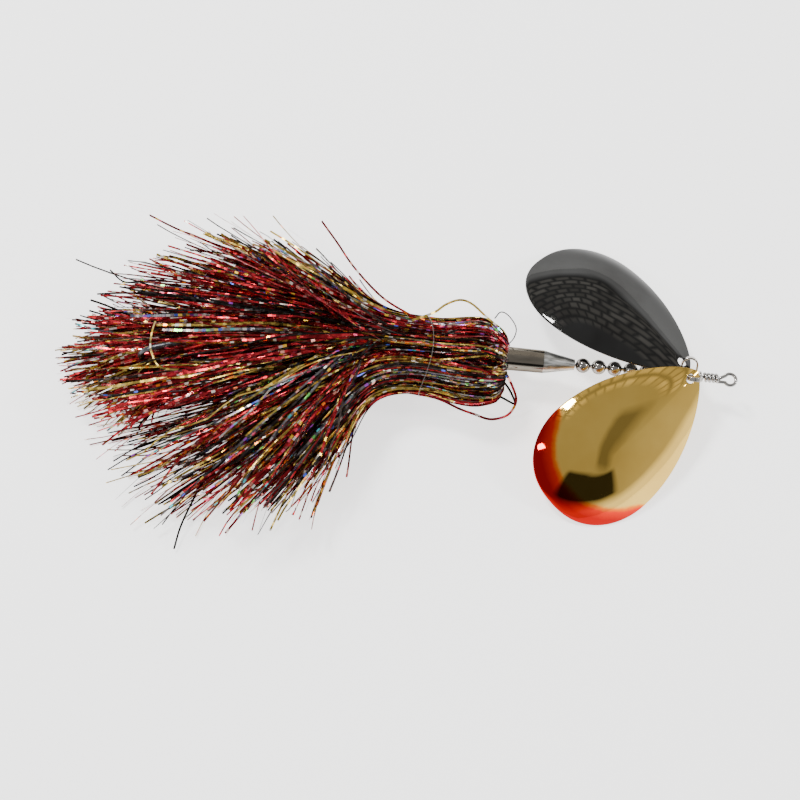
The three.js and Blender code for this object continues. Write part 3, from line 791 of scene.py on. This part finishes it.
# ---------------- hooks
def treble(shank, clocks, place, start=0.0, steps=24):
    """Three barbed arms and their shank, through place(x, y, z) in millimetres behind the eye."""
    middle = [place(x, 0, 0) for x in np.linspace(start, shank + 1, steps)]
    parts = [tube(middle, HOOK["shank_r"] * MM, 16)]
    bend, reach, tip = HOOK["bend_r"], HOOK["reach"], shank - HOOK["point"]
    for clock in clocks:
        angle = math.radians(clock)

        def lean(x, z):
            return place(x, z * math.sin(angle), z * math.cos(angle))

        line = [(shank - 5, 0.5)]
        for a in np.linspace(0, math.pi, 13):
            line.append((shank + bend * math.sin(a), reach - bend * (1 + math.cos(a))))
        line += [(tip + 6, reach + 0.1), (tip + 3, reach + 0.2), (tip, reach + 0.2)]
        fine = smooth_line([(x, z, 0) for x, z in line], 4)
        left = fine[:, 0] - tip
        sharpened = (np.arange(len(fine)) > len(fine) // 2) & (left < 5)
        taper = np.where(sharpened, np.clip(left / 5, 0.03, 1) ** 0.8, 1)
        parts.append(tube([lean(x, z) for x, z, _ in fine], HOOK["wire_r"] * taper * MM, 14))
        root, end = lean(tip + 5.4, reach - 0.5), lean(tip + 6.4, reach - 1.25)
        parts.append(tube([root, (root + end) / 2, end], np.array([0.5, 0.3, 0.03]) * MM, 8))
    return parts


def circle(count=48):
    return [(math.cos(a), math.sin(a)) for a in np.linspace(0, 2 * math.pi, count, endpoint=False)]


def front_hook():
    station, radius = FRONT_HOOK["station"], FRONT_HOOK["eye_r"]

    def place(x, y, z):
        return at(station + x, FRONT_HOOK["offset"] + y, z)

    eye = tube([at(station, radius * a, radius * b) for a, b in circle()], HOOK["wire_r"] * MM, 14, True)
    parts = [eye, *treble(FRONT_HOOK["shank"], FRONT_HOOK["clocks"], place)]
    add_piece("treble_front", parts, hook_steel, "front_hook")


def front_sleeve():
    """An oval shrink tube round the shaft wire and the front hook's shank."""
    inner = HOOK["shank_r"] + FRONT_SLEEVE["gap"]

    def outline(radius):
        ends = []
        for centre, start in ((0, -90), (FRONT_HOOK["offset"], 90)):
            for degrees in range(0, 181, 12):
                a = math.radians(start + degrees)
                ends.append((centre + radius * math.cos(a), radius * math.sin(a)))
        return ends

    front, rear = FRONT_SLEEVE["front"], FRONT_SLEEVE["rear"]
    outer = inner + FRONT_SLEEVE["wall"]
    rings = [(front, inner), (front, outer - 0.1), (front + 0.2, outer)]
    rings += [(rear - 0.2, outer), (rear, outer - 0.1), (rear, inner)]
    points = [at(s, y, z) for s, r in rings for y, z in outline(r)]
    parts = [(points, grid_faces(len(rings), len(outline(inner))))]
    keep_edges(outward(add_piece("sleeve_front", parts, shrink_tube, "front_hook_sleeve")))


def split_ring():
    """Nearly two turns of wire that lie on each other, with a step between them."""
    r, wire = SPLIT_RING["radius"], SPLIT_RING["wire_r"]
    turns = np.arange(2 * 64 - 6) / 64
    line = [
        at(RING_CENTRE + r * math.cos(a), r * math.sin(a), level)
        for a, level in zip(2 * np.pi * turns, wire * 0.5 * np.tanh((turns - 0.97) * 9))
    ]
    parts = [tube(line, wire * 0.52 * MM, 12)]
    add_piece("ring_split", parts, stainless, "split_ring")


def trailing(t, y, z):
    """A point t millimetres behind the split ring's centre, turned with the rear hook."""
    a = math.radians(REAR_YAW)
    return at(RING_CENTRE + t * math.cos(a) + y * math.sin(a), y * math.cos(a) - t * math.sin(a), z)


def rear_hook():
    wire, radius = REAR_HOOK["eye_wire_r"], REAR_HOOK["eye_r"]
    inside = wire + SPLIT_RING["wire_r"] + SPLIT_RING["play"]
    eye_at = SPLIT_RING["radius"] + radius - inside

    def place(x, y, z):
        return trailing(eye_at + x, y, z)

    eye = tube([place(radius * a, 0, radius * b) for a, b in circle()], wire * MM, 14, True)
    parts = [eye, *treble(REAR_HOOK["shank"], REAR_HOOK["clocks"], place, radius, 20)]
    add_piece("treble_rear", parts, hook_steel, "rear_hook")


def rear_turned(name, profile, material, node):
    """A turned piece on the rear hook's shank, its profile in (t, radius)."""
    points, faces = lathe([(RING_CENTRE + t, r) for t, r in profile], 48)
    centre = at(RING_CENTRE)
    turn = Matrix.Rotation(math.radians(REAR_YAW), 4, "Z")
    points = [centre + turn @ (p - centre) for p in points]
    keep_edges(add_piece(name, [(points, faces)], material, node))


# ---------------- tinsel
def ease(t):
    t = np.clip(t, 0, 1)
    return t * t * (3 - 2 * t)


def ribbons(name, lines, widths, leans, ids, material, node, stands_in, facing=None):
    """Flat ribbons along many lines of the same number of points, (strands, points, 3) in mm.

    They face outwards from the shaft, or one way if facing is given.
    """
    count, steps = lines.shape[:2]
    tangent = np.gradient(lines, axis=1)
    tangent /= np.linalg.norm(tangent, axis=2)[..., None] + 1e-9
    outside = np.stack([np.zeros((count, steps)), lines[..., 1] * 0.35, lines[..., 2] + 8], axis=2)
    across = np.cross(tangent, outside if facing is None else facing)
    across /= np.linalg.norm(across, axis=2)[..., None] + 1e-9
    normal = np.cross(across, tangent)
    side = across * np.cos(leans)[..., None] + normal * np.sin(leans)[..., None]
    left = lines - side * widths[:, None, None] / 2
    right = lines + side * widths[:, None, None] / 2
    points = np.stack([left, right], axis=2).reshape(-1, 3)
    points[:, 2] = np.maximum(points[:, 2], 0.15 - SHAFT_HEIGHT)
    pace = np.linalg.norm(np.diff(lines, axis=1), axis=2)
    length = np.concatenate([np.zeros((count, 1)), np.cumsum(pace, axis=1)], axis=1)
    first = (np.arange(count)[:, None] * steps + np.arange(steps - 1)[None, :]).ravel() * 2
    quads = np.stack([first, first + 2, first + 3, first + 1], axis=1)
    metres = points * MM + np.array(ORIGIN)
    mesh = bpy.data.meshes.new(name)
    mesh.vertices.add(len(metres))
    mesh.vertices.foreach_set("co", metres.astype(np.float32).ravel())
    mesh.loops.add(quads.size)
    mesh.loops.foreach_set("vertex_index", quads.astype(np.int32).ravel())
    mesh.polygons.add(len(quads))
    mesh.polygons.foreach_set("loop_start", np.arange(0, quads.size, 4, dtype=np.int32))
    uv = mesh.uv_layers.new(name=STRAND_UV)
    per_point = np.stack([np.repeat(ids, steps * 2), np.repeat(length.ravel(), 2) / UV_LENGTH], axis=1)
    uv.data.foreach_set("uv", per_point[quads.ravel()].astype(np.float32).ravel())
    mesh.update(calc_edges=True)
    mesh.validate()
    as_piece(mesh, material, node, stands_in)


def head_lines(angle, depth):
    """Strands from under the body's rear edge, folded out and back over the head to the waist."""
    count = len(angle)
    one = np.ones(count)
    swirl = rng.normal(0, np.where(rng.random(count) < 0.14, 0.6, 0.13))
    ragged = rng.normal(0, 0.45, count)
    bulge = 1 + 0.035 * np.sin(5 * angle + 1) + 0.03 * np.sin(11 * angle + 2) - 0.04
    rows = []

    def row(station, half_y, low, high, drift, share):
        turned_by = angle + swirl * (len(rows) - 3) / 6
        middle, rise = (low + high) / 2 - SHAFT_HEIGHT, (high - low) / 2
        y = share * (drift + half_y * np.cos(turned_by))
        z = middle * share**2 + share * rise * np.sin(turned_by)
        rows.append(np.stack([-station * one, y, z], axis=1))

    tuck = 1 - depth
    row(94.5, 4.9, SHAFT_HEIGHT - 4.9, SHAFT_HEIGHT + 4.9, 0, one)
    row(91.5, 5.4, SHAFT_HEIGHT - 5.4, SHAFT_HEIGHT + 5.4, -0.3, one)
    row(89.2 + 1.6 * tuck + ragged, 7.2, SHAFT_HEIGHT - 7.5, SHAFT_HEIGHT + 7.5, -1.6, 1 - 0.15 * tuck)
    row(88.4 + 4.0 * tuck + ragged, 10.4, 5, 27, -3.6, depth * bulge)
    row(90.4 + 4.0 * tuck + ragged, 14, 2, 30.6, -3.7, depth * bulge)
    row(94.3 + 2.0 * tuck, 16.3, 0.6, 33, -3.2, depth * bulge)
    for station, half, low, high, drift in HEAD:
        row(station, half, low, high, drift, depth * (0.5 + 0.5 * bulge))
    return np.stack(rows, axis=1)


def fan_lines(start, turn, rise, length, steps, spread_over, curl):
    """Strands that leave start and bend smoothly to the yaw turn, by arc length, in mm."""
    count = len(start)
    u = np.linspace(0, 1, steps)[None, :] * length[:, None]
    heading = turn[:, None] * ease(u / spread_over) + curl[:, None] * (u / length[:, None]) ** 2
    wave = rng.uniform(0, 2 * math.pi, (count, 1))
    pitch = rng.uniform(20, 55, (count, 1))
    size = rng.gamma(2.0, 0.032, (count, 1))
    heading = heading + size * np.sin(2 * math.pi * u / pitch + wave) * ease(u / 25)
    step = length[:, None] / (steps - 1)
    x = -np.cumsum(np.cos(heading) * step, axis=1) + np.cos(heading[:, :1]) * step
    y = np.cumsum(np.sin(heading) * step, axis=1) - np.sin(heading[:, :1]) * step
    z = rise(u) + 6 * size * np.sin(2 * math.pi * u / pitch * 1.3 + 2 * wave) * ease(u / 30)
    return np.stack([start[:, :1] + x, start[:, 1:2] + y, z], axis=2)


def gathered(lines, length, locks, lock_length, member, pull):
    """Draws each line towards its lock's line, more and more along its length."""
    steps, fine = lines.shape[1], locks.shape[1]
    u = np.linspace(0, 1, steps)[None, :] * length[:, None]
    place = np.clip(u / lock_length[member][:, None], 0, 1) * (fine - 1)
    low = np.minimum(place.astype(int), fine - 2)
    part = (place - low)[..., None]
    guide = locks[member[:, None], low] * (1 - part) + locks[member[:, None], low + 1] * part
    share = (pull[:, None] * ease((u - 8) / 80))[..., None]
    return lines * (1 - share) + guide * share


def on_table(lines):
    """Keeps every strand just above the table, each at its own height."""
    least = 0.3 + 0.6 * rng.random((len(lines), 1)) - SHAFT_HEIGHT
    lines[..., 2] = np.maximum(lines[..., 2], least)
    return lines


def front_skirt_lines(count):
    straight = 17  # millimetres behind the waist before a strand runs its own way

    def fan(waist, up, turn, length, steps, curl):
        mid = 1.5 + 18.5 * up + rng.normal(0, 0.8, len(up))
        sag = rng.uniform(2, 9, len(up)) + 6 * np.maximum(up, 0)

        def rise(u):
            lifted = waist[:, 2:3] + (mid[:, None] - waist[:, 2:3]) * ease(u / 48)
            return lifted - sag[:, None] * np.clip((u - 45) / 75, 0, 1.3) ** 1.6

        return fan_lines(waist, turn, rise, length, steps, 2 * straight, np.radians(curl))

    def spread(size):
        """Lines of the head, where they end, and how far each end is to the side and up (-1 to 1)."""
        angle = rng.uniform(0, 2 * math.pi, size)
        depth = 1 - 0.5 * rng.random(size) ** 1.9
        head = head_lines(angle, depth)
        waist = head[:, -1]
        return head, waist, (waist[:, 1] - WAIST[4]) / WAIST[1], (waist[:, 2] + 0.25) / 14.3

    def aimed(waist, bearing, share):
        """The yaw and length that bring each tip to its bearing and share of the reach."""
        reach = share * np.interp(bearing, *zip(*REACH))
        back = FAN_MIDDLE[0] - WAIST[0] + reach * np.cos(np.radians(bearing)) - straight
        aside = FAN_MIDDLE[1] + reach * np.sin(np.radians(bearing)) - waist[:, 1]
        return np.arctan2(aside, np.maximum(back, 8)), np.hypot(back, aside) + straight

    def bearing_of(side, noise):
        return FAN_BEARING[0] + FAN_BEARING[1] * side + rng.normal(0, noise, len(side))

    _, lock_waist, lock_side, lock_up = spread(LOCKS)
    lock_turn, lock_length = aimed(lock_waist, bearing_of(lock_side, 3), np.ones(LOCKS))
    locks = fan(lock_waist, lock_up, lock_turn, lock_length, 60, rng.normal(0, 5, LOCKS))
    lock_reach = rng.uniform(0.74, 1.04, LOCKS)

    head, waist, side, up = spread(count)
    crossing = rng.random(count) < np.where(up > 0.45, 0.2, 0.06)
    away = np.hypot(
        side[:, None] - lock_side + rng.normal(0, 0.04, (count, 1)),
        0.6 * (up[:, None] - lock_up) + rng.normal(0, 0.04, (count, 1)),
    )
    member = np.argmin(away, axis=1)
    bearing = bearing_of(np.where(crossing, rng.uniform(-0.85, 0.85, count), side), 3.5)
    share = lock_reach[member] * (1 - FRONT_SHORT[0] * rng.random(count) ** FRONT_SHORT[1])
    stray = rng.random(count) < 0.07
    share = np.where(stray, rng.uniform(0.88, 1.06, count), share)
    turn, length = aimed(waist, bearing, share)
    curl = rng.normal(0, np.where(stray, 15, 8))
    fan_part = fan(waist, up + 0.15 * crossing, turn, length, FAN_STEPS, curl)
    pull = np.where(crossing | stray, 0, rng.uniform(0.2, 0.85, count))
    fan_part = gathered(fan_part, length, locks, lock_length, member, pull)
    lines = np.concatenate([resampled(head, 2), fan_part], axis=1)
    lines[..., 1] *= np.minimum(1, FAN_EDGE / np.abs(lines[..., 1]).max(axis=1))[:, None]
    return on_table(lines), member


def rear_skirt_lines(count):
    angle = rng.uniform(0, 2 * math.pi, count)
    depth = np.sqrt(rng.random(count))
    across, up = depth * np.cos(angle), depth * np.sin(angle)
    t, radius = REAR_TIE["t"], REAR_TIE["r"]
    starts = [trailing(t, radius * a, radius * b) for a, b in zip(across, up)]
    tie = np.array([tuple((p - ORIGIN) / MM) for p in starts])
    turn_deg = -REAR_YAW + 38 * across + rng.normal(0, 3.5, count)
    reach = np.interp(turn_deg, *zip(*REAR_REACH))
    length = reach * (1 - REAR_SHORT[0] * rng.random(count) ** REAR_SHORT[1])
    high = 9.5 * up - 2.5

    def rise(u):
        lifted = tie[:, 2:3] + (high[:, None] - tie[:, 2:3]) * ease(u / 30)
        return lifted - (3 + 9 * depth[:, None]) * np.clip((u - 20) / 50, 0, 1.3) ** 1.5

    curl = np.radians(rng.normal(0, 9, count))
    lines = fan_lines(tie, np.radians(turn_deg), rise, length, REAR_STEPS, 16, curl)
    return on_table(lines), np.floor(turn_deg / 5).astype(int) % LOCKS


def tinsel_skirt(prefix, lines, member, node):
    """The strands of one skirt, one piece for each colour of tinsel."""
    count = len(lines)
    edges = np.cumsum([film[0] for film in FILMS.values()])
    favourite = rng.random(LOCKS)[member]
    draw = np.where(rng.random(count) < LOCK_COLOUR, favourite, rng.random(count))
    for i, (colour, material) in enumerate(TINSELS.items()):
        own = lines[np.minimum(np.searchsorted(edges, draw), len(edges) - 1) == i]
        steps = np.linspace(0, 1, own.shape[1])[None, :]
        leans = rng.normal(0, 0.55, (len(own), 1)) + rng.normal(0, 2.6, (len(own), 1)) * steps
        widths = rng.uniform(*STRAND_WIDTH, len(own))
        ids = rng.random(len(own))
        ribbons(f"{prefix}_{colour}", own, widths, leans, ids, material, node, colour == "crimson")


def loose_strands():
    """A few strands that have sprung out of the skirt in open loops."""
    for i, (colour, width, control) in enumerate(LOOSE):
        line = smooth_line([(-station, y, z) for station, y, z in control], 6)[None]
        leans = np.linspace(0.1, 0.5, line.shape[1])[None]
        name, ids, widths = f"loose_{i + 1}", np.array([0.17 + 0.07 * i]), np.array([width])
        ribbons(name, line, widths, leans, ids, TINSELS[colour], "front_skirt", False, LOOSE_FACING)


def skirt_core(lines):
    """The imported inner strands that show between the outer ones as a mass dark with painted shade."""
    strands = lines.reshape(-1, 3)
    columns = 72
    points = []
    for station in CORE_STATIONS:
        near = strands[np.abs(strands[:, 0] + station) < 2.5]
        end = max(0.35, min(1, (station - 88.5) / 4, (155.5 - station) / 8))
        (left, low), (right, high) = np.quantile(near[:, 1:], (CORE_SHARE, 1 - CORE_SHARE), axis=0)
        for a in 2 * np.pi * np.arange(columns) / columns:
            frill = end * (1 + 0.035 * math.sin(17 * a) + 0.03 * math.sin(29 * a + 1.3))
            y = (left + right) / 2 + (right - left) / 2 * frill * math.cos(a)
            z = (low + high) / 2 + (high - low) / 2 * frill * math.sin(a)
            points.append(at(station, y, z))
    parts = [(points, grid_faces(len(CORE_STATIONS), columns, closed=False))]
    outward(add_piece("skirt_inner", parts, painted_shade_inner_strands, "front_skirt", stands_in=False))


def neck_band():
    """One turn of fine clear elastic round the waist, pushed back a little at its sides."""
    (y, z), (half_y, half_z) = NECK_BAND["middle"], NECK_BAND["half"]
    line = [
        at(NECK_BAND["station"] + NECK_BAND["swept"] * a * a, y + half_y * a, z + half_z * b)
        for a, b in circle(96)
    ]
    parts = [tube(line, NECK_BAND["r"] * MM, 8, closed=True)]
    add_piece("waist_elastic", parts, clear_elastic, "neck_band")


# ---------------- build
wire_shaft()
for colour, material in (("gold", gold_blade), ("black", black_blade)):
    pose = BLADES[colour]
    blade(f"{colour}_blade_shell", pose, material, f"blade_{colour}")
    clevis(f"{colour}_clevis_strip", CLEVIS_STATION[colour], pose["clock"], f"clevis_{colour}")

bead("bead_thrust", THRUST_BEAD["station"], THRUST_BEAD["r"], "thrust_bead")
for i in range(BEAD["count"]):
    bead(f"bead_{i + 1}", BEAD["first"] + i * BEAD["pitch"], BEAD["r"], f"bearing_bead_{i + 1}")
body_weight()
skirt_collar()
coil = rounded(thread_coil(FRONT_THREAD), 0.02)
turned("thread_front", coil, tying_thread, "front_skirt_thread")
front_hook()
front_sleeve()
split_ring()
rear_hook()
sleeve = ring_profile(**REAR_SLEEVE)
rear_turned("sleeve_rear", rounded(sleeve, 0.2), shrink_tube, "rear_hook_sleeve")
rear_turned("thread_rear", thread_coil(REAR_THREAD, 7), tying_thread, "rear_skirt_thread")
front_lines, front_locks = front_skirt_lines(FRONT_STRANDS)
skirt_core(front_lines)
tinsel_skirt("tinsel_front", front_lines, front_locks, "front_skirt")
rear_lines, rear_locks = rear_skirt_lines(REAR_STRANDS)
tinsel_skirt("tinsel_rear", rear_lines, rear_locks, "rear_skirt")
loose_strands()
neck_band()


# ---------------- floor, light and camera
def towards(azimuth, elevation):
    a, e = math.radians(azimuth), math.radians(elevation)
    return Vector((math.cos(a) * math.cos(e), math.sin(a) * math.cos(e), math.sin(e)))


def studio():
    n = material_nodes("paper")
    grain = n.noise(n.place(), 600, 4, 0.6)
    n.set(
        Base_Color=n.mix(grain, rgb(0.88, 0.88, 0.88), rgb(0.92, 0.92, 0.915)),
        Roughness=0.85,
        Emission_Color=rgb(1, 1, 1),
        Emission_Strength=FLOOR_GLOW,
    )
    mesh = bpy.data.meshes.new("floor")
    corners = [(x * FLOOR_REACH, y * FLOOR_REACH, 0) for x, y in ((-1, -1), (1, -1), (1, 1), (-1, 1))]
    mesh.from_pydata(corners, [], [(0, 1, 2, 3)])
    mesh.materials.append(n.owner)
    add_object("floor", mesh)

    # a white sweep all round, pale walls with panes on one side and a dark doorway opposite
    world = bpy.data.worlds.new("studio")
    bpy.context.scene.world = world
    n = Nodes(world)
    x, y, z = n.separate(n.add("TexCoord")["Generated"])
    aside = n.math("ARCTAN2", x, n.math("MULTIPLY", y, -1.0))

    def patch(*limits):
        """One inside every (value, start, full, full, end), nothing outside."""
        inside = 1.0
        for value, start, full_from, full_to, end in limits:
            inside = n.math("MULTIPLY", inside, n.scale_range(value, start, full_from))
            inside = n.math("MULTIPLY", inside, n.scale_range(value, end, full_to))
        return inside

    doorway = patch((aside, -0.36, -0.28, 0.52, 0.64), (z, 0.2, 0.26, 0.6, 0.66))
    figure = patch((x, 0.1, 0.18, 0.28, 0.4), (y, -0.78, -0.62, 0.0, 0.14), (z, 0.4, 0.5, 2, 3))
    shade = n.math("MAXIMUM", doorway, n.math("MULTIPLY", figure, FIGURE_SHADE))
    wall = n.math("ADD", WALL, n.scale_range(x, 0.35, 0.95, 0, 0.35))
    wall = n.math("MULTIPLY", wall, n.scale_range(shade, 0, 1, 1, DOORWAY_LEFT))
    panes = {
        "Vector": n.combine(n.math("ARCTAN2", x, y), n.math("ARCSINE", z)),
        "Scale": 1.0,
        "Brick Width": 0.17,
        "Row Height": 0.11,
        "Mortar Size": 0.04,
        "Mortar Smooth": 1.0,
        "Color1": rgb(1.6, 1.52, 1.4),
        "Color2": rgb(0.75, 0.72, 0.67),
        "Mortar": rgb(0.42, 0.42, 0.42),
    }
    cells = n.add("TexBrick", panes, offset=0.5)["Color"]
    band = patch((z, 0.19, 0.24, 0.9, 0.93), (y, 0.08, 0.22, 2, 3))
    room = n.mix(band, n.combine(wall, wall, wall), cells)
    sweep = n.math("MAXIMUM", band, n.scale_range(z, 0.08, 0.2))
    n.set(Color=n.mix(sweep, rgb(*SWEEP), room), Strength=1.0)

    target = at(50, 0, 0)
    for azimuth, elevation, distance, width, height, watts in SOFTBOXES:
        lamp = bpy.data.lights.new("softbox", "AREA")
        lamp.shape = "RECTANGLE"
        lamp.size = width
        lamp.size_y = height
        lamp.energy = watts
        light = add_object("softbox", lamp)
        light.location = target + towards(azimuth, elevation) * distance
        light.rotation_euler = (target - light.location).to_track_quat("-Z", "Y").to_euler()


def camera():
    lens = bpy.data.cameras.new("camera")
    lens.lens = CAMERA["lens"]
    lens.sensor_width = 36
    obj = add_object("camera", lens)
    e, r = math.radians(CAMERA["elevation"]), math.radians(CAMERA["roll"])
    back = Vector((0, -math.cos(e), math.sin(e)))
    up = Vector((0, math.sin(e), math.cos(e)))
    right = Vector((1, 0, 0))
    side = math.cos(r) * right + math.sin(r) * up
    top = -math.sin(r) * right + math.cos(r) * up
    matrix = Matrix((side, top, back)).transposed().to_4x4()
    matrix.translation = at(*CAMERA["aim"]) + back * CAMERA["distance"]
    obj.matrix_world = matrix
    bpy.context.scene.camera = obj


studio()
camera()
